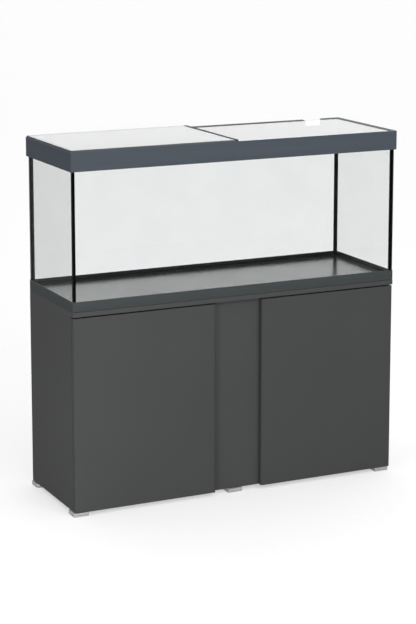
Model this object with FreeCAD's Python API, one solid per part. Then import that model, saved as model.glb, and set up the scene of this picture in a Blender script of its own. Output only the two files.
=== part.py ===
import FreeCAD, Part
import math
import os

# Glass aquarium with sliding covers, standing on a two-door cabinet.
# Millimetres. +Z is up, -Y is the front. The origin is on the floor, under the middle of the object.

Vector = FreeCAD.Vector
UP = Vector(0, 0, 1)
FRONT = Vector(0, -1, 0)
SIDES = (-1, 1)

# How far a cutting block reaches past the face it cuts, and the tolerances for picking edges.
CUT_PAST = 1.0
VERTICAL_COSINE = 0.99
SAME_PLACE = 0.01

# ---------------------------------------------------------------- driving dimensions
TOP_FRAME_L = 1210.0
TOP_FRAME_D = 410.0
TOP_FRAME_H = 65.0
FRAME_TOP_Z = 1217.0

BOTTOM_FRAME_L = 1201.0
BOTTOM_FRAME_D = 401.0
BOTTOM_FRAME_H = 35.0

CABINET_L = 1200.0
CABINET_D = 400.0
CABINET_TOP_Z = 691.0
CABINET_BOTTOM_Z = 14.0
BOARD = 16.0
BOARD_EASE = 0.5

DOOR_T = 18.0
DOOR_TOP_Z = 670.5
DOOR_BACK_GAP = 2.0
RECESS_W = 173.0
PARTITION_BEHIND_DOOR = 1.5
DOOR_FRONT_R = 8.0
DOOR_BACK_R = 1.5

GLASS_L = 1196.0
GLASS_D = 396.0
GLASS_T = 8.0
GLASS_TOP_Z = 1187.0
GLASS_EASE = 0.5
GLASS_GAP = 0.8

COVER_T = 6.0
COVER_PLAY = 0.7
COVER_CORNER_R = 3.0
BRACE_CLEAR = 0.3
BRACE_FLANGE_W = 26.0
BRACE_FLANGE_T = 3.0
BRACE_WEB_T = 6.0
BRACE_H = 22.0
STRIP_X = -12.0
STRIP_W = 12.5
STRIP_GLASS_SEAT = 5.5
STRIP_UNDER = 0.8
STRIP_TOP_Z = 1222.6
COVER_OVERLAP = 6.0

CUTOUT_X0 = 457.0
CUTOUT_X1 = 528.0
CUTOUT_FLOOR_Z = 1190.0

FOOT_W = 53.0
FOOT_H = 13.2
FOOT_ROW_X = -5.5
FOOT_PITCH = 573.0
FOOT_FRONT_Y = 199.0
MIDDLE_FOOT_FRONT_Y = 187.0
LEFT_FOOT_SCREW_SHIFT = 12.0
FOOT_SCREW_INSETS = (25.0, 41.0)

# ---------------------------------------------------------------- derived places
FRAME_BOTTOM_Z = FRAME_TOP_Z - TOP_FRAME_H
GLASS_X = GLASS_L / 2
GLASS_Y = GLASS_D / 2
INSIDE_X = GLASS_X - GLASS_T
INSIDE_Y = GLASS_Y - GLASS_T

CAB_X = CABINET_L / 2
CAB_Y = CABINET_D / 2
CARCASS_FRONT_Y = -CAB_Y + DOOR_T + DOOR_BACK_GAP
DOOR_BACK_Y = -CAB_Y + DOOR_T
TOP_PANEL_Z = CABINET_TOP_Z - BOARD
BOTTOM_PANEL_TOP_Z = CABINET_BOTTOM_Z + BOARD
BAY_OUTER_X = CAB_X - BOARD
DOOR_INNER_X = RECESS_W / 2
PARTITION_X = DOOR_INNER_X + PARTITION_BEHIND_DOOR

BACK_PANEL_T = 4.0
BACK_PANEL_Y = 194.0

# Top frame section: distances inward from the outer face, and heights.
LIP_W = 1.8
UPPER_LEDGE_IN = 13.3
RAIL_W = 23.0
OUTER_LEG_T = 6.7
SLOT_IN = 15.3
LIP_H = 1.0
COVER_STEP = 7.3
SKIRT_H = 43.0
UPPER_LEDGE_Z = FRAME_TOP_Z - LIP_H
LOWER_LEDGE_Z = UPPER_LEDGE_Z - COVER_STEP
SKIRT_Z = FRAME_TOP_Z - SKIRT_H
SLOT_PLAY = 0.4
SLOT_TOP_Z = GLASS_TOP_Z + SLOT_PLAY
TOP_FRAME_CORNER_R = 2.5
TOP_EDGE_EASE = 0.5

# Bottom frame section: a thin wall round a solid ledge that carries the glass.
WALL_T = 2.3
LEDGE_H = 10.0
LEDGE_W = 24.0
WALL_GROOVE_H = 1.5
WALL_GROOVE_IN = 3.0
WALL_UPRIGHT_H = 22.0
WALL_TAPER_Z = CABINET_TOP_Z + WALL_UPRIGHT_H
WALL_TAPER = 1.0
WALL_TOP_EASE = 0.5
BOTTOM_FRAME_CORNER_R = 4.0

# Door hinges: one vertical axis per door, inside the door's outer edge.
HINGE_HEIGHTS = (104.0, 580.0)
CUP_FROM_EDGE = 22.5
CUP_R = 17.4
CUP_BORE_R = 17.5
CUP_BORE_DEPTH = 12.0
CUP_DEPTH = 11.6
CUP_INNER_R = 15.6
CUP_INNER_DEPTH = 10.4
CUP_FLANGE_T = 1.2


def box(x0, x1, y0, y1, z0, z1):
    return Part.makeBox(x1 - x0, y1 - y0, z1 - z0, Vector(x0, y0, z0))


def eased_box(x0, x1, y0, y1, z0, z1, ease):
    block = box(x0, x1, y0, y1, z0, z1)
    return block.makeChamfer(ease, block.Edges)


def board(x0, x1, y0, y1, z0, z1):
    return eased_box(x0, x1, y0, y1, z0, z1, BOARD_EASE)


def vertical_edges(shape):
    return [edge for edge in shape.Edges if abs(edge.tangentAt(edge.FirstParameter).z) > VERTICAL_COSINE]


def rounded_box(x0, x1, y0, y1, z0, z1, radius):
    block = box(x0, x1, y0, y1, z0, z1)
    return block.makeFillet(radius, vertical_edges(block))


def cylinder(radius, height, base, direction):
    return Part.makeCylinder(radius, height, base, direction)


def prism(points, height):
    wire = Part.makePolygon(points + [points[0]])
    return Part.Face(wire).extrude(Vector(0, 0, height))


def mirror_x(shape):
    return shape.mirror(Vector(0, 0, 0), Vector(1, 0, 0))


def export(name, shapes):
    pieces = shapes if isinstance(shapes, list) else [shapes]
    shape = pieces[0] if len(pieces) == 1 else Part.makeCompound(pieces)
    if not shape.isValid():
        raise ValueError("invalid shape: " + name)
    shape.exportStep(os.path.join("parts", name + ".step"))
    print(name, len(shape.Solids), round(shape.Volume))


# ---------------------------------------------------------------- mitred frames
def mitre_region(side, half_l, half_d, z0, z1):
    """The part of the plan that belongs to one rail, bounded by 45 degree mitres."""
    ridge = half_l - half_d
    corners = {
        "front": [(-half_l, -half_d), (half_l, -half_d), (ridge, 0), (-ridge, 0)],
        "back": [(half_l, half_d), (-half_l, half_d), (-ridge, 0), (ridge, 0)],
        "left": [(-half_l, half_d), (-half_l, -half_d), (-ridge, 0)],
        "right": [(half_l, -half_d), (half_l, half_d), (ridge, 0)],
    }
    points = [Vector(x, y, z0) for x, y in corners[side]]
    return prism(points, z1 - z0)


def rail(side, section, half_l, half_d):
    """Extrude a section of (inward distance, height) points along one side, cut to its mitres."""
    if side in ("front", "back"):
        sign = -1 if side == "front" else 1
        points = [Vector(-half_l, sign * (half_d - inward), z) for inward, z in section]
        run = Vector(2 * half_l, 0, 0)
    else:
        sign = -1 if side == "left" else 1
        points = [Vector(sign * (half_l - inward), -half_d, z) for inward, z in section]
        run = Vector(0, 2 * half_d, 0)
    bar = Part.Face(Part.makePolygon(points + [points[0]])).extrude(run)
    heights = [z for _, z in section]
    return bar.common(mitre_region(side, half_l, half_d, min(heights), max(heights)))


def rounded_frame_rails(section, half_l, half_d, corner_r):
    heights = [z for _, z in section]
    outline = rounded_box(-half_l, half_l, -half_d, half_d, min(heights), max(heights), corner_r)
    rails = {}
    for side in ("front", "back", "left", "right"):
        rails[side] = rail(side, section, half_l, half_d).common(outline)
    return rails


def make_top_frame():
    section = [
        (0, FRAME_BOTTOM_Z),
        (0, FRAME_TOP_Z - TOP_EDGE_EASE),
        (TOP_EDGE_EASE, FRAME_TOP_Z),
        (LIP_W, FRAME_TOP_Z),
        (LIP_W, UPPER_LEDGE_Z),
        (UPPER_LEDGE_IN, UPPER_LEDGE_Z),
        (UPPER_LEDGE_IN, LOWER_LEDGE_Z),
        (RAIL_W, LOWER_LEDGE_Z),
        (RAIL_W, SKIRT_Z),
        (SLOT_IN, SKIRT_Z),
        (SLOT_IN, SLOT_TOP_Z),
        (OUTER_LEG_T, SLOT_TOP_Z),
        (OUTER_LEG_T, FRAME_BOTTOM_Z),
    ]
    half_d = TOP_FRAME_D / 2
    rails = rounded_frame_rails(section, TOP_FRAME_L / 2, half_d, TOP_FRAME_CORNER_R)
    notch = box(
        CUTOUT_X0, CUTOUT_X1,
        half_d - RAIL_W - CUT_PAST, half_d + CUT_PAST,
        CUTOUT_FLOOR_Z, FRAME_TOP_Z + CUT_PAST,
    )
    rails["back"] = rails["back"].cut(notch)
    for side, shape in rails.items():
        export(side + "_top_rail", shape)


def make_bottom_frame():
    z0 = CABINET_TOP_Z
    z1 = CABINET_TOP_Z + BOTTOM_FRAME_H
    section = [
        (WALL_GROOVE_IN, z0),
        (WALL_GROOVE_IN, z0 + WALL_GROOVE_H),
        (0, z0 + WALL_GROOVE_H),
        (0, WALL_TAPER_Z),
        (WALL_TAPER, z1 - WALL_TOP_EASE),
        (WALL_TAPER + WALL_TOP_EASE, z1),
        (WALL_T, z1),
        (WALL_T, z0 + LEDGE_H),
        (LEDGE_W, z0 + LEDGE_H),
        (LEDGE_W, z0),
    ]
    rails = rounded_frame_rails(section, BOTTOM_FRAME_L / 2, BOTTOM_FRAME_D / 2, BOTTOM_FRAME_CORNER_R)
    for side, shape in rails.items():
        export(side + "_bottom_rail", shape)


# ---------------------------------------------------------------- tank
TANK_BOTTOM_Z = CABINET_TOP_Z + LEDGE_H
TANK_FLOOR_Z = TANK_BOTTOM_Z + GLASS_T
SEAL_BELOW_SKIRT = 0.5
SEAL_TOP_Z = SKIRT_Z - SEAL_BELOW_SKIRT
SIDE_BEAD = 10.0
FRONT_BEAD = 3.0
BACK_BEAD = 11.0
FLOOR_BEAD = 8.0
FLOOR_BEAD_HOLLOW = 1.6
FLOOR_BEAD_STEPS = 8


def make_panes():
    z0 = TANK_BOTTOM_Z
    z1 = GLASS_TOP_Z
    for name, sign in (("front_pane", -1), ("back_pane", 1)):
        inner, outer = sorted((sign * INSIDE_Y, sign * GLASS_Y))
        export(name, eased_box(-GLASS_X, GLASS_X, inner, outer, z0, z1, GLASS_EASE))
    side_y = INSIDE_Y - GLASS_GAP
    for name, sign in (("left_pane", -1), ("right_pane", 1)):
        inner, outer = sorted((sign * INSIDE_X, sign * GLASS_X))
        export(name, eased_box(inner, outer, -side_y, side_y, z0, z1, GLASS_EASE))
    base_x = INSIDE_X - GLASS_GAP
    base_y = INSIDE_Y - GLASS_GAP
    export("base_pane", eased_box(-base_x, base_x, -base_y, base_y, z0, TANK_FLOOR_Z, GLASS_EASE))


def corner_seal(sign_x, sign_y):
    """A silicone layer between two panes, with a bead along the inside of the corner."""
    along_front = FRONT_BEAD if sign_y < 0 else BACK_BEAD
    outline = [
        (GLASS_X, INSIDE_Y),
        (INSIDE_X - along_front, INSIDE_Y),
        (INSIDE_X, INSIDE_Y - SIDE_BEAD),
        (INSIDE_X, INSIDE_Y - GLASS_GAP),
        (GLASS_X, INSIDE_Y - GLASS_GAP),
    ]
    points = [Vector(sign_x * x, sign_y * y, TANK_FLOOR_Z) for x, y in outline]
    return prism(points, SEAL_TOP_Z - TANK_FLOOR_Z)


def floor_bead_profile():
    """The smoothed, slightly hollow face of the bead between the walls and the floor."""
    points = []
    for step in range(FLOOR_BEAD_STEPS + 1):
        along = step / FLOOR_BEAD_STEPS
        hollow = FLOOR_BEAD_HOLLOW * math.sin(math.pi * along) / math.sqrt(2)
        inward = FLOOR_BEAD * along - hollow
        height = FLOOR_BEAD * (1 - along) - hollow
        points.append((inward, TANK_FLOOR_Z + height))
    return points


def make_seals():
    seals = {}
    for name_y, sign_y in (("front", -1), ("back", 1)):
        for name_x, sign_x in (("left", -1), ("right", 1)):
            seals[name_y + "_" + name_x + "_seal"] = corner_seal(sign_x, sign_y)
    section = [
        (0, TANK_BOTTOM_Z),
        *floor_bead_profile(),
        (GLASS_GAP, TANK_FLOOR_Z),
        (GLASS_GAP, TANK_BOTTOM_Z),
    ]
    runs = [rail(side, section, INSIDE_X, INSIDE_Y) for side in ("front", "back", "left", "right")]
    ring = runs[0].multiFuse(runs[1:]).removeSplitter()
    for name, shape in seals.items():
        ring = ring.cut(shape)
        export(name, shape)
    export("base_seal", ring.Solids)


def make_covers():
    """The left cover runs on the upper ledge, the right cover on the lower one, partly under it."""
    half_d = TOP_FRAME_D / 2
    half_l = TOP_FRAME_L / 2
    strip_x0 = STRIP_X - STRIP_W / 2
    strip_x1 = STRIP_X + STRIP_W / 2
    glass_end_x = strip_x0 + STRIP_GLASS_SEAT
    upper_y = half_d - LIP_W - COVER_PLAY
    upper_x = half_l - LIP_W - COVER_PLAY
    lower_y = half_d - UPPER_LEDGE_IN - COVER_PLAY
    lower_x = half_l - UPPER_LEDGE_IN - COVER_PLAY
    upper_top_z = UPPER_LEDGE_Z + COVER_T
    left = rounded_box(-upper_x, glass_end_x, -upper_y, upper_y, UPPER_LEDGE_Z, upper_top_z, COVER_CORNER_R)
    right_x0 = strip_x0 - COVER_OVERLAP
    right_top_z = LOWER_LEDGE_Z + COVER_T
    right = rounded_box(right_x0, lower_x, -lower_y, lower_y, LOWER_LEDGE_Z, right_top_z, COVER_CORNER_R)
    grip_body = box(glass_end_x, strip_x1, -upper_y, upper_y, UPPER_LEDGE_Z, STRIP_TOP_Z)
    grip_lip = box(strip_x0, glass_end_x, -upper_y, upper_y, upper_top_z, STRIP_TOP_Z)
    grip_under = box(strip_x0, strip_x1, -lower_y, lower_y, UPPER_LEDGE_Z - STRIP_UNDER, UPPER_LEDGE_Z)
    grip = grip_body.multiFuse([grip_lip, grip_under]).removeSplitter()
    left = left.cut(grip)
    export("left_cover", left)
    export("cover_grip", grip)
    export("right_cover", right)


def make_brace():
    """A T-shaped bar between the front and rear skirts, clear below both covers."""
    inner_y = TOP_FRAME_D / 2 - RAIL_W
    top_z = LOWER_LEDGE_Z - BRACE_CLEAR
    under_z = top_z - BRACE_FLANGE_T
    flange_x = BRACE_FLANGE_W / 2
    web_x = BRACE_WEB_T / 2
    flange = box(STRIP_X - flange_x, STRIP_X + flange_x, -inner_y, inner_y, under_z, top_z)
    web = box(STRIP_X - web_x, STRIP_X + web_x, -inner_y, inner_y, top_z - BRACE_H, under_z)
    export("centre_brace", flange.fuse(web).removeSplitter())


# ---------------------------------------------------------------- cabinet
CAM_R = 7.5
CAM_DEPTH = 12.0
CAM_FROM_JOINT = 34.0
CAM_YS = (-120.0, 120.0)
CAM_SLOT_W = 2.0
CAM_SLOT_L = 12.0
CAM_SLOT_DEPTH = 2.0
SHELF_Z = 340.0
SHELF_SIDE_PLAY = 0.5
SHELF_FRONT_INSET = 20.0
SHELF_BACK_INSET = 5.0
PIN_R = 2.5
PIN_LEN = 16.0
PIN_IN = 8.0
PIN_YS = (-130.0, 130.0)
CABLE_HOLE_R = 30.0
CABLE_HOLE_X = 340.0
CABLE_HOLE_Z = 500.0
SCREW_R = 1.9
SCREW_HEAD_R = 4.0
SCREW_HEAD_H = 2.2
SCREW_BORE_DEPTH = 12.0
HEAD_ROUNDING = 0.6
DRIVE_SLOT_W = 0.8
DRIVE_SLOT_REACH = 0.6
DRIVE_SLOT_DEPTH = 0.8


def cam(base, direction):
    """A cam disc that sits flush with a board's face; base is on the face, direction goes in."""
    disc = cylinder(CAM_R, CAM_DEPTH, base, direction)
    half_w = CAM_SLOT_W / 2
    half_l = CAM_SLOT_L / 2
    slot = box(-half_w, half_w, -half_l, half_l, -CAM_SLOT_DEPTH, CAM_SLOT_DEPTH)
    slot.Placement = FreeCAD.Placement(base, FreeCAD.Rotation(UP, direction))
    return disc.cut(slot)


def cam_places():
    """Faces that carry cams: (board name, point on the face, direction into the board)."""
    places = []
    side_z = TOP_PANEL_Z - CAM_FROM_JOINT
    for sign, side in ((-1, "left"), (1, "right")):
        for y in CAM_YS:
            places.append((side + "_side_panel", Vector(sign * BAY_OUTER_X, y, side_z), Vector(sign, 0, 0)))
            face_x = sign * (PARTITION_X + BOARD)
            places.append((side + "_partition", Vector(face_x, y, side_z), Vector(-sign, 0, 0)))
            outer_x = sign * (BAY_OUTER_X - CAM_FROM_JOINT)
            inner_x = sign * (PARTITION_X + BOARD + CAM_FROM_JOINT)
            for x in (outer_x, inner_x):
                places.append(("bottom_panel", Vector(x, y, BOTTOM_PANEL_TOP_Z), Vector(0, 0, -1)))
    return places


def foot_places():
    """Each foot's centre in X, its front or rear face in Y, and the side it stands on."""
    places = []
    for column in (-1, 0, 1):
        x = FOOT_ROW_X + column * FOOT_PITCH
        for row in SIDES:
            face_y = MIDDLE_FOOT_FRONT_Y if column == 0 and row < 0 else FOOT_FRONT_Y
            places.append((x, row * face_y, column, row))
    return places


def foot_screw_points():
    points = []
    for x, face_y, column, row in foot_places():
        screw_x = x + LEFT_FOOT_SCREW_SHIFT if column < 0 else x
        for inset in FOOT_SCREW_INSETS:
            points.append((screw_x, face_y - row * inset))
    return points


def pan_head_screw(point, direction, shank_r, length, head_r, head_h):
    """A screw whose head sits on the face at point; direction is the way the shank goes."""
    top = point - direction * head_h
    head = cylinder(head_r, head_h, top, direction)
    rim = [edge for edge in head.Edges if edge.CenterOfMass.distanceToPoint(top) < SAME_PLACE]
    head = head.makeFillet(head_h * HEAD_ROUNDING, rim)
    shank = cylinder(shank_r, length, point, direction)
    half_w = DRIVE_SLOT_W / 2
    half_l = head_r * DRIVE_SLOT_REACH
    recess = box(-half_w, half_w, -half_l, half_l, -DRIVE_SLOT_DEPTH, DRIVE_SLOT_DEPTH)
    recess.Placement = FreeCAD.Placement(top, FreeCAD.Rotation(UP, direction))
    return head.fuse(shank).cut(recess)


def make_carcass():
    side_y1 = CAB_Y
    bay_y1 = BACK_PANEL_Y
    z0 = CABINET_BOTTOM_Z
    boards = {}
    boards["top_panel"] = board(-CAB_X, CAB_X, -CAB_Y, CAB_Y, TOP_PANEL_Z, CABINET_TOP_Z)
    boards["left_side_panel"] = board(-CAB_X, -BAY_OUTER_X, CARCASS_FRONT_Y, side_y1, z0, TOP_PANEL_Z)
    boards["right_side_panel"] = board(BAY_OUTER_X, CAB_X, CARCASS_FRONT_Y, side_y1, z0, TOP_PANEL_Z)
    boards["bottom_panel"] = board(-BAY_OUTER_X, BAY_OUTER_X, CARCASS_FRONT_Y, bay_y1, z0, BOTTOM_PANEL_TOP_Z)
    upper = (BOTTOM_PANEL_TOP_Z, TOP_PANEL_Z)
    boards["left_partition"] = board(-PARTITION_X - BOARD, -PARTITION_X, CARCASS_FRONT_Y, bay_y1, *upper)
    boards["right_partition"] = board(PARTITION_X, PARTITION_X + BOARD, CARCASS_FRONT_Y, bay_y1, *upper)
    centre_back_y = CARCASS_FRONT_Y + BOARD
    boards["centre_panel"] = board(-PARTITION_X, PARTITION_X, CARCASS_FRONT_Y, centre_back_y, *upper)
    shelf_x0 = -BAY_OUTER_X + SHELF_SIDE_PLAY
    shelf_x1 = -PARTITION_X - BOARD - SHELF_SIDE_PLAY
    shelf_y0 = CARCASS_FRONT_Y + SHELF_FRONT_INSET
    shelf_y1 = bay_y1 - SHELF_BACK_INSET
    boards["left_shelf"] = board(shelf_x0, shelf_x1, shelf_y0, shelf_y1, SHELF_Z, SHELF_Z + BOARD)

    cams = []
    for name, point, direction in cam_places():
        boards[name] = boards[name].cut(cylinder(CAM_R, CAM_DEPTH, point, direction))
        cams.append(cam(point, direction))

    pins = []
    for face_x, board_name, inward in (
        (-BAY_OUTER_X, "left_side_panel", 1),
        (-PARTITION_X - BOARD, "left_partition", -1),
    ):
        for y in PIN_YS:
            start = Vector(face_x - inward * PIN_IN, y, SHELF_Z - PIN_R)
            pin = cylinder(PIN_R, PIN_LEN, start, Vector(inward, 0, 0))
            boards[board_name] = boards[board_name].cut(pin)
            pins.append(pin)

    for x, y in foot_screw_points():
        hole = cylinder(SCREW_R, SCREW_BORE_DEPTH, Vector(x, y, z0), UP)
        boards["bottom_panel"] = boards["bottom_panel"].cut(hole)

    for name, shape in boards.items():
        export(name, shape)
    export("cam_fittings", cams)
    export("shelf_pins", pins)


def make_back_panels():
    y0 = BACK_PANEL_Y
    y1 = BACK_PANEL_Y + BACK_PANEL_T
    z0 = CABINET_BOTTOM_Z
    seam_x = PARTITION_X + BOARD / 2
    export("centre_back_panel", box(-seam_x, seam_x, y0, y1, z0, TOP_PANEL_Z))
    outer = box(-BAY_OUTER_X, -seam_x, y0, y1, z0, TOP_PANEL_Z)
    hole = cylinder(CABLE_HOLE_R, BACK_PANEL_T, Vector(-CABLE_HOLE_X, y0, CABLE_HOLE_Z), Vector(0, 1, 0))
    left = outer.cut(hole)
    export("left_back_panel", left)
    export("right_back_panel", mirror_x(left))


def make_doors():
    """Each door is one board with soft-rounded front edges and two hinge bores in its back."""
    plan = rounded_plan(-CAB_X, -DOOR_INNER_X, -CAB_Y, DOOR_BACK_Y)
    door = plan.extrude(Vector(0, 0, DOOR_TOP_Z - CABINET_BOTTOM_Z))
    for z in HINGE_HEIGHTS:
        centre = Vector(-CAB_X + CUP_FROM_EDGE, DOOR_BACK_Y, z)
        door = door.cut(cylinder(CUP_BORE_R, CUP_BORE_DEPTH, centre, FRONT))
        for screw_point in cup_screw_points(z):
            door = door.cut(cylinder(CUP_SCREW_R, CUP_SCREW_LENGTH, screw_point, FRONT))
    export("left_door", door)
    export("right_door", mirror_x(door))


def rounded_plan(x0, x1, y0, y1):
    """A board's plan with large radii at the front (low Y) corners and small ones at the back."""
    front = DOOR_FRONT_R
    back = DOOR_BACK_R
    z = CABINET_BOTTOM_Z
    bend = 1 - 0.5 ** 0.5
    corners = [
        (x0, y0, front, 1, 1),
        (x1, y0, front, -1, 1),
        (x1, y1, back, -1, -1),
        (x0, y1, back, 1, -1),
    ]
    edges = []
    last_end = None
    first_start = None
    for index, (x, y, radius, in_x, in_y) in enumerate(corners):
        on_x_side = Vector(x + in_x * radius, y, z)
        on_y_side = Vector(x, y + in_y * radius, z)
        middle = Vector(x + in_x * radius * bend, y + in_y * radius * bend, z)
        start, end = (on_y_side, on_x_side) if index % 2 == 0 else (on_x_side, on_y_side)
        if last_end is not None:
            edges.append(Part.makeLine(last_end, start))
        else:
            first_start = start
        edges.append(Part.Arc(start, middle, end).toShape())
        last_end = end
    edges.append(Part.makeLine(last_end, first_start))
    return Part.Face(Part.Wire(edges))


# ---------------------------------------------------------------- hinges and small fittings
CUP_X = -CAB_X + CUP_FROM_EDGE
CUP_SCREW_OFFSET_X = 8.0
CUP_SCREW_OFFSET_Z = 22.5
CUP_SCREW_R = 1.5
CUP_SCREW_LENGTH = 9.0
CUP_SCREW_HEAD_R = 3.0
CUP_SCREW_HEAD_H = 0.5
CUP_SCREW_HOLE_R = 1.8
CUP_EAR_X = (-1.0, 14.0)
CUP_EAR_HALF_H = 29.0
CUP_RIM = 1.5
CUP_TRIM_X = -14.0
PLATE_YS = (-156.0, -108.0)
PLATE_HALF_H = 9.0
PLATE_T = 4.0
ARM_FRONT_Y = -179.0
ARM_BACK_Y = -104.0
ARM_HALF_H = 7.5
ARM_T = 9.5
ARM_WALL = 1.5
CHANNEL_FROM_PLATE = 2.0
WING_T = 1.8
WING_FROM_PLATE = (12.0, 30.0)
WING_HALF_H = 24.0
ARM_SCREW_R = 3.5
ARM_SCREW_H = 1.2
ARM_SCREW_Y = -125.0
PLATE_SCREW_R = 3.2
PLATE_SCREW_H = 1.0
PLATE_SCREW_OFFSET_Z = 16.0


def cup_screw_points(z):
    return [Vector(CUP_X + CUP_SCREW_OFFSET_X, DOOR_BACK_Y, z + sign * CUP_SCREW_OFFSET_Z) for sign in SIDES]


def hinge_cup(z):
    centre = Vector(CUP_X, DOOR_BACK_Y, z)
    cup = cylinder(CUP_R, CUP_DEPTH, centre, FRONT)
    flange = rounded_flange(z)
    hollow = cylinder(CUP_INNER_R, CUP_INNER_DEPTH + CUP_FLANGE_T, centre - FRONT * CUP_FLANGE_T, FRONT)
    body = cup.fuse(flange).cut(hollow)
    for point in cup_screw_points(z):
        start = point - FRONT * (CUP_FLANGE_T + CUT_PAST)
        body = body.cut(cylinder(CUP_SCREW_HOLE_R, CUP_FLANGE_T + 2 * CUT_PAST, start, FRONT))
    return body


def rounded_flange(z):
    """The oblong plate round a cup's mouth, lying on the door's back."""
    y0 = DOOR_BACK_Y
    y1 = DOOR_BACK_Y + CUP_FLANGE_T
    ears = box(CUP_X + CUP_EAR_X[0], CUP_X + CUP_EAR_X[1], y0, y1, z - CUP_EAR_HALF_H, z + CUP_EAR_HALF_H)
    radius = CUP_R + CUP_RIM
    round_part = cylinder(radius, CUP_FLANGE_T, Vector(CUP_X, y0, z), Vector(0, 1, 0))
    outer_side = box(CUP_X - radius, CUP_X + CUP_TRIM_X, y0, y1, z - radius, z + radius)
    return ears.fuse(round_part).cut(outer_side).removeSplitter()


def hinge_arm(z):
    """A mounting plate on the side panel, and the channel-shaped arm that is clipped over it."""
    face_x = -BAY_OUTER_X
    plate = box(face_x, face_x + PLATE_T, PLATE_YS[0], PLATE_YS[1], z - PLATE_HALF_H, z + PLATE_HALF_H)
    wing_y0, wing_y1 = (PLATE_YS[0] + distance for distance in WING_FROM_PLATE)
    wings = box(face_x, face_x + WING_T, wing_y0, wing_y1, z - WING_HALF_H, z + WING_HALF_H)
    x0 = face_x + PLATE_T
    arm = box(x0, x0 + ARM_T, ARM_FRONT_Y, ARM_BACK_Y, z - ARM_HALF_H, z + ARM_HALF_H)
    channel = box(
        x0, x0 + ARM_T - ARM_WALL,
        ARM_FRONT_Y, PLATE_YS[0] - CHANNEL_FROM_PLATE,
        z - ARM_HALF_H + ARM_WALL, z + ARM_HALF_H - ARM_WALL,
    )
    screw_head = cylinder(ARM_SCREW_R, ARM_SCREW_H, Vector(x0 + ARM_T, ARM_SCREW_Y, z), Vector(1, 0, 0))
    return plate.multiFuse([wings, arm.cut(channel), screw_head]).removeSplitter()


def plate_screw_points(z):
    y = PLATE_YS[0] + sum(WING_FROM_PLATE) / 2
    return [Vector(-BAY_OUTER_X + WING_T, y, z + sign * PLATE_SCREW_OFFSET_Z) for sign in SIDES]


def make_hinges():
    cups = [hinge_cup(z) for z in HINGE_HEIGHTS]
    arms = [hinge_arm(z) for z in HINGE_HEIGHTS]
    cup_screws = []
    plate_screws = []
    for z in HINGE_HEIGHTS:
        for point in cup_screw_points(z):
            face = point - FRONT * CUP_FLANGE_T
            cup_screws.append(
                pan_head_screw(
                    face, FRONT, CUP_SCREW_R, CUP_SCREW_LENGTH, CUP_SCREW_HEAD_R, CUP_SCREW_HEAD_H
                )
            )
        for point in plate_screw_points(z):
            plate_screws.append(cylinder(PLATE_SCREW_R, PLATE_SCREW_H, point, Vector(1, 0, 0)))
    export("left_hinge_cups", cups)
    export("right_hinge_cups", [mirror_x(cup) for cup in cups])
    export("left_hinge_arms", arms)
    export("right_hinge_arms", [mirror_x(arm) for arm in arms])
    export("left_cup_screws", cup_screws)
    export("right_cup_screws", [mirror_x(screw) for screw in cup_screws])
    export("hinge_plate_screws", plate_screws + [mirror_x(screw) for screw in plate_screws])


BUMPER_ZS = (60.0, 620.0)
BUMPER_R = 4.5
BUMPER_CLEAR = 0.3


def make_bumpers():
    """Soft discs on the partitions' front edges, just short of the closed doors."""
    bumpers = []
    for sign in SIDES:
        for z in BUMPER_ZS:
            centre = Vector(sign * (PARTITION_X + BOARD / 2), CARCASS_FRONT_Y, z)
            bumpers.append(cylinder(BUMPER_R, DOOR_BACK_GAP - BUMPER_CLEAR, centre, FRONT))
    export("door_bumpers", bumpers)


# ---------------------------------------------------------------- feet
FOOT_CORNER_R = 5.0
FOOT_GROOVE_Z = (5.4, 6.6)
FOOT_GROOVE_DEPTH = 1.0
FOOT_RECESS_H = 4.0
FOOT_SCREW_LENGTH = 21.5
FOOT_SCREW_PLAY = 0.5
PAD_NEAR = 20.5
PAD_FAR = 48.0
PAD_LEFT = 6.0
PAD_RIGHT = 20.5


def foot(x, face_y, row):
    """A square foot with a groove round it; only its part under the carcass reaches the board."""
    half = FOOT_W / 2
    y0, y1 = sorted((face_y, face_y - row * FOOT_W))
    block = rounded_box(x - half, x + half, y0, y1, 0, FOOT_H, FOOT_CORNER_R)
    depth = FOOT_GROOVE_DEPTH
    core = rounded_box(
        x - half + depth, x + half - depth,
        y0 + depth, y1 - depth,
        FOOT_GROOVE_Z[0], FOOT_GROOVE_Z[1],
        FOOT_CORNER_R - depth,
    )
    belt = box(
        x - half - CUT_PAST, x + half + CUT_PAST,
        y0 - CUT_PAST, y1 + CUT_PAST,
        *FOOT_GROOVE_Z,
    ).cut(core)
    block = block.cut(belt)
    pad_y0, pad_y1 = sorted((face_y - row * PAD_NEAR, face_y - row * PAD_FAR))
    pad = box(x - PAD_LEFT, x + PAD_RIGHT, pad_y0, pad_y1, FOOT_H, CABINET_BOTTOM_Z)
    return block.fuse(pad)


def make_feet():
    names = {-1: "left", 0: "middle", 1: "right"}
    screws = []
    holes = []
    for x, y in foot_screw_points():
        seat = Vector(x, y, FOOT_RECESS_H)
        holes.append(cylinder(SCREW_HEAD_R + FOOT_SCREW_PLAY, FOOT_RECESS_H, Vector(x, y, 0), UP))
        holes.append(cylinder(SCREW_R, CABINET_BOTTOM_Z, Vector(x, y, 0), UP))
        screws.append(pan_head_screw(seat, UP, SCREW_R, FOOT_SCREW_LENGTH, SCREW_HEAD_R, SCREW_HEAD_H))
    for x, face_y, column, row in foot_places():
        shape = foot(x, face_y, row)
        for hole in holes:
            shape = shape.cut(hole)
        export(("front_" if row < 0 else "back_") + names[column] + "_foot", shape)
    export("foot_screws", screws)


os.makedirs("parts", exist_ok=True)
make_top_frame()
make_bottom_frame()
make_panes()
make_seals()
make_covers()
make_brace()
make_carcass()
make_back_panels()
make_doors()
make_hinges()
make_bumpers()
make_feet()
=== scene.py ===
import math

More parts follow.
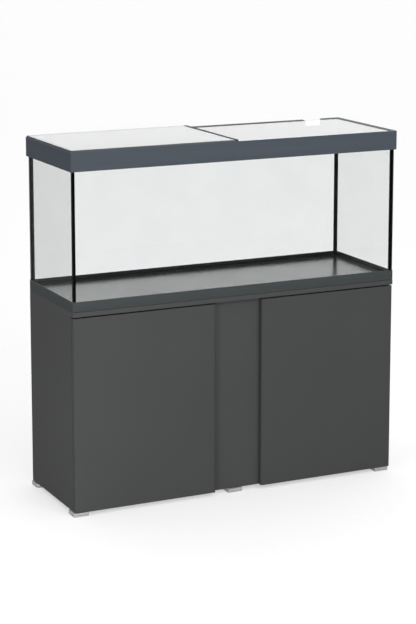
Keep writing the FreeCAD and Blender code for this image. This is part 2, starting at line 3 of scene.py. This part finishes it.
import bpy
from mathutils import Euler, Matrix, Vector


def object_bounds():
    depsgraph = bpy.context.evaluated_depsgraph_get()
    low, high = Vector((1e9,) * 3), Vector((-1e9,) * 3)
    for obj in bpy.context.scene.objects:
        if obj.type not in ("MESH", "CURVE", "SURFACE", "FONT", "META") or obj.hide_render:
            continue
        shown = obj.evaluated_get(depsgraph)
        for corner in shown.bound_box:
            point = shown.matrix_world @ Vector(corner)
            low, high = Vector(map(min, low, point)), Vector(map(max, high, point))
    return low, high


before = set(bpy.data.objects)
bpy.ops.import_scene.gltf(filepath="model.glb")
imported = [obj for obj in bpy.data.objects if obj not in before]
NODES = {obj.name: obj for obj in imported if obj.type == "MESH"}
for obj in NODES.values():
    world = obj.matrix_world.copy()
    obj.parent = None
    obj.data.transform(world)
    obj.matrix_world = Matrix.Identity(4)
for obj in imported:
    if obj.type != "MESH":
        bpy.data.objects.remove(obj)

CAD_LOW, CAD_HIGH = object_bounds()
CENTRE = (CAD_LOW + CAD_HIGH) / 2

# ---------------------------------------------------------------- camera
CAMERA_FROM_CENTRE = Vector((-2.831, -5.850, 1.484))
CAMERA_YAW = math.radians(25.66)
CAMERA_PITCH = math.radians(9.85)
CAMERA_LENS = 110.8
CAMERA_SHIFT_Y = -0.17

# ---------------------------------------------------------------- colours (linear)
FRAME_BLUE = (0.056, 0.071, 0.090)
FRAME_BLUE_DARK = (0.046, 0.058, 0.074)
BASE_FRAME = (0.040, 0.047, 0.049)
BASE_FRAME_DARK = (0.033, 0.039, 0.041)
ANTHRACITE = (0.052, 0.053, 0.0535)
ANTHRACITE_DARK = (0.045, 0.046, 0.0465)
FOIL = (0.050, 0.051, 0.0515)
FOIL_DARK = (0.044, 0.045, 0.0455)
HARDBOARD = (0.030, 0.030, 0.031)
HARDBOARD_DARK = (0.018, 0.018, 0.019)
FLOOR_GLASS = (0.040, 0.048, 0.047)
FLOOR_GLASS_DARK = (0.032, 0.039, 0.038)
SILICONE = (0.004, 0.004, 0.0045)
SILICONE_LIGHT = (0.008, 0.008, 0.009)
FOOT_GREY = (0.38, 0.38, 0.38)
FOOT_GREY_DARK = (0.30, 0.30, 0.305)
GRIP = (0.040, 0.041, 0.042)
GRIP_DARK = (0.028, 0.029, 0.030)
COVER_PALE = (0.75, 0.77, 0.76)
COVER_HAZE = (0.70, 0.72, 0.71)
COVER_EDGE = (0.125, 0.135, 0.132)
PANE_CLEAR = (0.965, 0.975, 0.975)
SIDE_PANE_CLEAR = (0.99, 0.995, 0.995)
PANE_EDGE = (0.35, 0.52, 0.46)
NICKEL = (0.62, 0.61, 0.59)
NICKEL_DARK = (0.48, 0.47, 0.45)
ZINC = (0.46, 0.46, 0.45)
ZINC_DARK = (0.30, 0.30, 0.30)
BUMPER = (0.55, 0.56, 0.56)
BUMPER_DARK = (0.45, 0.46, 0.46)
FLOOR_WHITE = (0.46, 0.46, 0.46)
FLOOR_SHADE = (0.44, 0.44, 0.44)
FLOOR_MIRRORED = (0.07, 0.07, 0.07)

# ---------------------------------------------------------------- glass
# A little under real glass, about 1.52, so that panes stay pale at a low angle.
GLASS_IOR = 1.42
SMEAR = 0.975
COVER_EDGE_ROUGHNESS = 0.25
COVER_EDGE_TRANSMISSION = 0.2

# ---------------------------------------------------------------- studio
BACK_WALL = Vector((0.43, 0.90, 0.10)).normalized()
BACK_WALL_LIGHT = 1.3
SIDE_WALL_LIGHT = 0.12
CEILING_LIGHT = 1.0
FLOOR_GLOW = 0.52
FLOOR_HALF = 60.0
WALL_EDGE = (0.35, 0.85)
CEILING_EDGE = (0.35, 0.8)
SOFTBOX_PLACE = Vector((0.5, -5.0, 3.2))
SOFTBOX_SIZE = (4.0, 2.5)
SOFTBOX_POWER = 170.0
STRIP_PLACE = Vector((-2.6, -1.9, 0.3))
STRIP_TARGET = Vector((CAD_LOW.x, 0.0, 0.25))
STRIP_SIZE = (0.4, 0.6)
STRIP_POWER = 3.8
STRIP_SPREAD = math.radians(50)


# ---------------------------------------------------------------- shader building blocks
class Shader:
    """A material with one Principled shader, and short ways to add the nodes that feed it."""

    def __init__(self, name):
        self.material = bpy.data.materials.new(name)
        self.material.use_nodes = True
        self.tree = self.material.node_tree
        self.main = next(n for n in self.tree.nodes if n.type == "BSDF_PRINCIPLED")
        self.coordinates = self.node("ShaderNodeTexCoord").outputs["Object"]

    def node(self, kind):
        return self.tree.nodes.new(kind)

    def link(self, output, target):
        self.tree.links.new(output, target)

    def constant(self, **values):
        for name, value in values.items():
            self.main.inputs[name.replace("_", " ")].default_value = value

    def scaled(self, scale):
        mapping = self.node("ShaderNodeMapping")
        mapping.inputs["Scale"].default_value = scale
        self.link(self.coordinates, mapping.inputs["Vector"])
        return mapping.outputs["Vector"]

    def noise(self, scale, detail=4.0, roughness=0.55):
        """Noise in the object's own metres; scale is one number, or one for each axis."""
        texture = self.node("ShaderNodeTexNoise")
        vector = scale if isinstance(scale, tuple) else (scale, scale, scale)
        texture.inputs["Scale"].default_value = 1.0
        texture.inputs["Detail"].default_value = detail
        texture.inputs["Roughness"].default_value = roughness
        self.link(self.scaled(vector), texture.inputs["Vector"])
        return texture.outputs["Fac"]

    def remap(self, value, low, high, from_low=0.3, from_high=0.7):
        node = self.node("ShaderNodeMapRange")
        node.inputs["From Min"].default_value = from_low
        node.inputs["From Max"].default_value = from_high
        node.inputs["To Min"].default_value = low
        node.inputs["To Max"].default_value = high
        self.link(value, node.inputs["Value"])
        return node.outputs["Result"]

    def add(self, first, second, weight=0.5):
        """first * (1 - weight) + second * weight."""
        node = self.node("ShaderNodeMix")
        node.inputs["Factor"].default_value = weight
        self.link(first, node.inputs["A"])
        self.link(second, node.inputs["B"])
        return node.outputs["Result"]

    def colour(self, factor, dark, light):
        node = self.node("ShaderNodeMix")
        node.data_type = "RGBA"
        self.link(factor, node.inputs["Factor"])
        node.inputs["A"].default_value = (*dark, 1.0)
        node.inputs["B"].default_value = (*light, 1.0)
        return node.outputs["Result"]

    def bump(self, height, strength, distance):
        node = self.node("ShaderNodeBump")
        node.inputs["Strength"].default_value = strength
        node.inputs["Distance"].default_value = distance
        self.link(height, node.inputs["Height"])
        self.link(node.outputs["Normal"], self.main.inputs["Normal"])

    def face_mask(self, axis, threshold=0.8):
        """1 on the large faces that look along an axis, 0 on the edges between them."""
        geometry = self.node("ShaderNodeNewGeometry")
        split = self.node("ShaderNodeSeparateXYZ")
        self.link(geometry.outputs["True Normal"], split.inputs["Vector"])
        size = self.node("ShaderNodeMath")
        size.operation = "ABSOLUTE"
        self.link(split.outputs[axis], size.inputs[0])
        above = self.node("ShaderNodeMath")
        above.operation = "GREATER_THAN"
        above.inputs[1].default_value = threshold
        self.link(size.outputs["Value"], above.inputs[0])
        return above.outputs["Value"]

    def face_or_edge(self, face, face_colour, edge_colour):
        """The face colour where the mask is 1, and one plain colour on the edges."""
        node = self.node("ShaderNodeMix")
        node.data_type = "RGBA"
        self.link(face, node.inputs["Factor"])
        node.inputs["A"].default_value = (*edge_colour, 1.0)
        self.link(face_colour, node.inputs["B"])
        return node.outputs["Result"]

    def set(self, name, output):
        self.link(output, self.main.inputs[name])


def brushed_frame(name, light, dark, along):
    """Satin plastic rail with fine streaks drawn along its length."""
    shader = Shader(name)
    wide = tuple(1.2 if axis == along else 42.0 for axis in "XYZ")
    fine = tuple(6.0 if axis == along else 900.0 for axis in "XYZ")
    bands = shader.noise(wide, detail=3.0)
    streaks = shader.noise(fine, detail=2.0)
    mixed = shader.add(bands, streaks, 0.35)
    shader.set("Base Color", shader.colour(shader.remap(mixed, 0.0, 1.0), dark, light))
    shader.set("Roughness", shader.remap(streaks, 0.36, 0.46))
    shader.bump(streaks, 0.25, 0.00006)
    shader.constant(IOR=1.46)
    return shader.material


def board_surface(name, light, dark, roughness, grain=850.0):
    """Foil or melamine on board: a fine pressed pore, faint cloudiness, small changes of gloss."""
    shader = Shader(name)
    clouds = shader.noise(3.5, detail=5.0, roughness=0.6)
    pores = shader.noise(grain, detail=2.0, roughness=0.5)
    mottling = shader.noise(70.0, detail=4.0)
    mixed = shader.add(shader.add(clouds, pores, 0.45), mottling, 0.25)
    shader.set("Base Color", shader.colour(shader.remap(mixed, 0.0, 1.0), dark, light))
    shader.set("Roughness", shader.remap(shader.add(pores, clouds, 0.4), roughness - 0.05, roughness + 0.07))
    shader.bump(pores, 0.35, 0.00008)
    shader.constant(IOR=1.45)
    return shader.material


def pane_glass(name, axis, tint, edge_tint):
    """Clear pane with a faint green body, ground and greener along its cut edges."""
    shader = Shader(name)
    face = shader.face_mask(axis)
    smears = shader.noise(9.0, detail=5.0, roughness=0.65)
    edge_grind = shader.noise(1200.0, detail=1.0)
    smeared = tuple(SMEAR * channel for channel in tint)
    clean = shader.colour(shader.remap(smears, 0.0, 1.0), smeared, tint)
    shader.set("Base Color", shader.face_or_edge(face, clean, edge_tint))
    rough_edge = shader.remap(edge_grind, 0.18, 0.3)
    blend = shader.node("ShaderNodeMix")
    shader.link(face, blend.inputs["Factor"])
    shader.link(rough_edge, blend.inputs["A"])
    blend.inputs["B"].default_value = 0.0
    shader.set("Roughness", blend.outputs["Result"])
    shader.constant(Transmission_Weight=1.0, IOR=GLASS_IOR)
    return shader.material


def cover_glass(name):
    """Clear cover glass with faint smears, and ground edges that pass little light."""
    shader = Shader(name)
    veil = shader.noise(6.0, detail=5.0, roughness=0.6)
    face = shader.face_mask("Z")
    haze = shader.colour(shader.remap(veil, 0.0, 1.0), COVER_HAZE, COVER_PALE)
    shader.set("Base Color", shader.face_or_edge(face, haze, COVER_EDGE))
    shader.set("Roughness", shader.remap(face, COVER_EDGE_ROUGHNESS, 0.0, 0.0, 1.0))
    shader.set("Transmission Weight", shader.remap(face, COVER_EDGE_TRANSMISSION, 1.0, 0.0, 1.0))
    shader.constant(IOR=GLASS_IOR)
    return shader.material


def silicone(name, stretch, shine, depth, rough):
    """Black sealant, glossy where the finger smoothed it, with shallow ripples."""
    shader = Shader(name)
    ripples = shader.noise(stretch, detail=3.0)
    shader.set("Base Color", shader.colour(ripples, SILICONE, SILICONE_LIGHT))
    shader.set("Roughness", shader.remap(ripples, rough, rough + 0.06))
    shader.bump(ripples, depth, 0.0004)
    shader.constant(IOR=1.41, Specular_IOR_Level=shine)
    return shader.material


def moulded_plastic(name, light, dark, roughness):
    """Satin moulded plastic with a fine spark-eroded texture and a little scuffing."""
    shader = Shader(name)
    texture = shader.noise(1400.0, detail=2.0)
    scuffs = shader.noise((60.0, 60.0, 400.0), detail=4.0)
    mixed = shader.add(texture, scuffs, 0.5)
    shader.set("Base Color", shader.colour(shader.remap(mixed, 0.0, 1.0), dark, light))
    shader.set("Roughness", shader.remap(mixed, roughness - 0.05, roughness + 0.08))
    shader.bump(texture, 0.3, 0.00006)
    return shader.material


def grip_plastic(name):
    """Matt soft plastic strip with fine drawn lines along the cover's edge."""
    shader = Shader(name)
    lines = shader.noise((700.0, 9.0, 700.0), detail=2.0)
    shader.set("Base Color", shader.colour(shader.remap(lines, 0.0, 1.0), GRIP_DARK, GRIP))
    shader.set("Roughness", shader.remap(lines, 0.6, 0.72))
    shader.bump(lines, 0.3, 0.00006)
    shader.constant(Specular_IOR_Level=0.2)
    return shader.material


def plated_metal(name, light, dark, roughness, stretch):
    """Plated steel or zinc with drawn lines and dull patches."""
    shader = Shader(name)
    lines = shader.noise(stretch, detail=3.0)
    patches = shader.noise(45.0, detail=4.0)
    mixed = shader.add(lines, patches, 0.45)
    shader.set("Base Color", shader.colour(shader.remap(mixed, 0.0, 1.0), dark, light))
    shader.set("Roughness", shader.remap(mixed, roughness - 0.07, roughness + 0.1))
    shader.bump(lines, 0.2, 0.00005)
    shader.constant(Metallic=1.0)
    return shader.material


def floor_glass(name):
    """The tank's floor: glass lying on the dark board, so it shines at a low angle and is dark from above."""
    shader = Shader(name)
    film = shader.noise((5.0, 9.0, 5.0), detail=4.0)
    specks = shader.noise(260.0, detail=2.0)
    shader.set("Base Color", shader.colour(shader.remap(film, 0.0, 1.0), FLOOR_GLASS_DARK, FLOOR_GLASS))
    shader.set("Roughness", shader.remap(film, 0.2, 0.25))
    shader.bump(specks, 0.04, 0.00004)
    shader.constant(IOR=1.5)
    return shader.material


def floor_paper(name):
    """Pale studio paper that glows a little, so that the feet throw hardly any shadow; dim in reflections."""
    shader = Shader(name)
    fibres = shader.noise(35.0, detail=5.0)
    mirrored = shader.node("ShaderNodeLightPath").outputs["Glossy Depth"]
    paper = shader.colour(shader.remap(fibres, 0.0, 1.0), FLOOR_SHADE, FLOOR_WHITE)
    dimmed = shader.node("ShaderNodeMix")
    dimmed.data_type = "RGBA"
    shader.link(mirrored, dimmed.inputs["Factor"])
    shader.link(paper, dimmed.inputs["A"])
    dimmed.inputs["B"].default_value = (*FLOOR_MIRRORED, 1.0)
    shader.set("Base Color", dimmed.outputs["Result"])
    shader.set("Roughness", shader.remap(fibres, 0.75, 0.85))
    shader.set("Emission Strength", shader.remap(mirrored, FLOOR_GLOW, 0.0, 0.0, 1.0))
    shader.constant(Emission_Color=(1.0, 1.0, 1.0, 1.0), IOR=1.3)
    return shader.material


# ---------------------------------------------------------------- materials on the CAD nodes
def dress(material, *names):
    for name in names:
        for slot in NODES[name].material_slots:
            slot.material = material


def dress_frame():
    top_x = brushed_frame("top_frame_lengthwise", FRAME_BLUE, FRAME_BLUE_DARK, "X")
    top_y = brushed_frame("top_frame_crosswise", FRAME_BLUE, FRAME_BLUE_DARK, "Y")
    base_x = brushed_frame("base_frame_lengthwise", BASE_FRAME, BASE_FRAME_DARK, "X")
    base_y = brushed_frame("base_frame_crosswise", BASE_FRAME, BASE_FRAME_DARK, "Y")
    dress(top_x, "front_top_rail", "back_top_rail")
    dress(top_y, "left_top_rail", "right_top_rail", "centre_brace")
    dress(grip_plastic("grip_strip"), "cover_grip")
    dress(base_x, "front_bottom_rail", "back_bottom_rail")
    dress(base_y, "left_bottom_rail", "right_bottom_rail")


def dress_tank():
    dress(pane_glass("pane_facing_y", "Y", PANE_CLEAR, PANE_EDGE), "front_pane", "back_pane")
    dress(pane_glass("pane_facing_x", "X", SIDE_PANE_CLEAR, PANE_EDGE), "left_pane", "right_pane")
    dress(floor_glass("tank_floor_glass"), "base_pane")
    dress(cover_glass("cover_glass"), "left_cover", "right_cover")
    upright = silicone("upright_silicone", stretch=(160.0, 160.0, 22.0), shine=0.4, depth=0.15, rough=0.24)
    low = silicone("floor_silicone", stretch=(60.0, 60.0, 300.0), shine=0.2, depth=0.05, rough=0.4)
    dress(upright, "front_left_seal", "front_right_seal", "back_left_seal", "back_right_seal")
    dress(low, "base_seal")


def dress_cabinet():
    carcass = board_surface("melamine_carcass", ANTHRACITE, ANTHRACITE_DARK, roughness=0.46)
    doors = board_surface("soft_formed_foil", FOIL, FOIL_DARK, roughness=0.42)
    back = board_surface("hardboard_back", HARDBOARD, HARDBOARD_DARK, roughness=0.6, grain=420.0)
    dress(
        carcass,
        "top_panel", "left_side_panel", "right_side_panel", "bottom_panel",
        "left_partition", "right_partition", "centre_panel", "left_shelf",
    )
    dress(doors, "left_door", "right_door")
    dress(back, "left_back_panel", "centre_back_panel", "right_back_panel")


def dress_fittings():
    drawn_along_y = (500.0, 60.0, 500.0)
    cast = (300.0, 300.0, 300.0)
    turned_about_z = (700.0, 700.0, 90.0)
    nickel = plated_metal("nickel_plate", NICKEL, NICKEL_DARK, roughness=0.26, stretch=drawn_along_y)
    zinc = plated_metal("die_cast_zinc", ZINC, ZINC_DARK, roughness=0.42, stretch=cast)
    screws = plated_metal("zinc_plated_steel", NICKEL, ZINC, roughness=0.3, stretch=turned_about_z)
    feet = moulded_plastic("silver_grey_plastic", FOOT_GREY, FOOT_GREY_DARK, roughness=0.38)
    rubber = moulded_plastic("clear_grey_rubber", BUMPER, BUMPER_DARK, roughness=0.35)
    dress(nickel, "left_hinge_cups", "right_hinge_cups", "left_hinge_arms", "right_hinge_arms")
    dress(zinc, "cam_fittings")
    dress(screws, "shelf_pins", "left_cup_screws", "right_cup_screws", "hinge_plate_screws", "foot_screws")
    dress(rubber, "door_bumpers")
    for row in ("front", "back"):
        for column in ("left", "middle", "right"):
            dress(feet, row + "_" + column + "_foot")


# ---------------------------------------------------------------- stage, light and camera
def make_floor():
    half = FLOOR_HALF
    corners = [(-half, -half, 0.0), (half, -half, 0.0), (half, half, 0.0), (-half, half, 0.0)]
    mesh = bpy.data.meshes.new("floor")
    mesh.from_pydata(corners, [], [(0, 1, 2, 3)])
    floor = bpy.data.objects.new("floor", mesh)
    mesh.materials.append(floor_paper("studio_paper"))
    bpy.context.scene.collection.objects.link(floor)


def make_area_light(name, place, target, size, power, spread=math.pi):
    data = bpy.data.lights.new(name, "AREA")
    data.shape = "RECTANGLE"
    data.size, data.size_y = size
    data.energy = power
    data.spread = spread
    light = bpy.data.objects.new(name, data)
    light.location = place
    light.rotation_euler = (target - place).to_track_quat("-Z", "Y").to_euler()
    light.visible_camera = False
    light.visible_transmission = False
    bpy.context.scene.collection.objects.link(light)
    return light


def make_world():
    """White to look at; in reflections and as a light, a bright wall behind, dim walls and a soft ceiling."""
    world = bpy.data.worlds.new("white_studio")
    world.use_nodes = True
    tree = world.node_tree
    background = tree.nodes["Background"]

    def node(kind, **settings):
        made = tree.nodes.new(kind)
        for key, value in settings.items():
            setattr(made, key, value)
        return made

    def math_node(operation, first, second, clamp=False):
        made = node("ShaderNodeMath", operation=operation, use_clamp=clamp)
        for socket, value in zip(made.inputs, (first, second)):
            if isinstance(value, float):
                socket.default_value = value
            else:
                tree.links.new(value, socket)
        return made.outputs["Value"]

    def ramp(value, low, high, top):
        made = node("ShaderNodeMapRange", interpolation_type="SMOOTHSTEP")
        made.inputs["From Min"].default_value = low
        made.inputs["From Max"].default_value = high
        made.inputs["To Max"].default_value = top
        tree.links.new(value, made.inputs["Value"])
        return made.outputs["Result"]

    direction = node("ShaderNodeTexCoord").outputs["Generated"]
    towards_wall = node("ShaderNodeVectorMath", operation="DOT_PRODUCT")
    tree.links.new(direction, towards_wall.inputs[0])
    towards_wall.inputs[1].default_value = BACK_WALL
    upwards = node("ShaderNodeSeparateXYZ")
    tree.links.new(direction, upwards.inputs["Vector"])
    wall = ramp(towards_wall.outputs["Value"], *WALL_EDGE, BACK_WALL_LIGHT)
    ceiling = ramp(upwards.outputs["Z"], *CEILING_EDGE, CEILING_LIGHT)
    studio = math_node("ADD", math_node("MAXIMUM", wall, ceiling), SIDE_WALL_LIGHT)
    path = node("ShaderNodeLightPath")
    bounced = math_node("ADD", path.outputs["Glossy Depth"], path.outputs["Diffuse Depth"], clamp=True)
    mix = node("ShaderNodeMix")
    tree.links.new(bounced, mix.inputs["Factor"])
    mix.inputs["A"].default_value = 1.0
    tree.links.new(studio, mix.inputs["B"])
    tree.links.new(mix.outputs["Result"], background.inputs["Strength"])
    background.inputs["Color"].default_value = (1.0, 1.0, 1.0, 1.0)
    bpy.context.scene.world = world


def make_light():
    make_world()
    make_area_light("front_softbox", SOFTBOX_PLACE, CENTRE, SOFTBOX_SIZE, SOFTBOX_POWER)
    strip = make_area_light("left_strip", STRIP_PLACE, STRIP_TARGET, STRIP_SIZE, STRIP_POWER, STRIP_SPREAD)
    # The strip only lifts the left side; mirrored in the panes it would show as a white card.
    strip.visible_glossy = False


def make_camera():
    data = bpy.data.cameras.new("camera")
    data.lens = CAMERA_LENS
    data.shift_y = CAMERA_SHIFT_Y
    camera = bpy.data.objects.new("camera", data)
    camera.location = CENTRE + CAMERA_FROM_CENTRE
    camera.rotation_euler = Euler((math.pi / 2 - CAMERA_PITCH, 0.0, -CAMERA_YAW))
    bpy.context.scene.collection.objects.link(camera)
    bpy.context.scene.camera = camera


make_camera()
dress_frame()
dress_tank()
dress_cabinet()
dress_fittings()
make_floor()
make_light()
bpy.context.scene.view_settings.view_transform = "Standard"
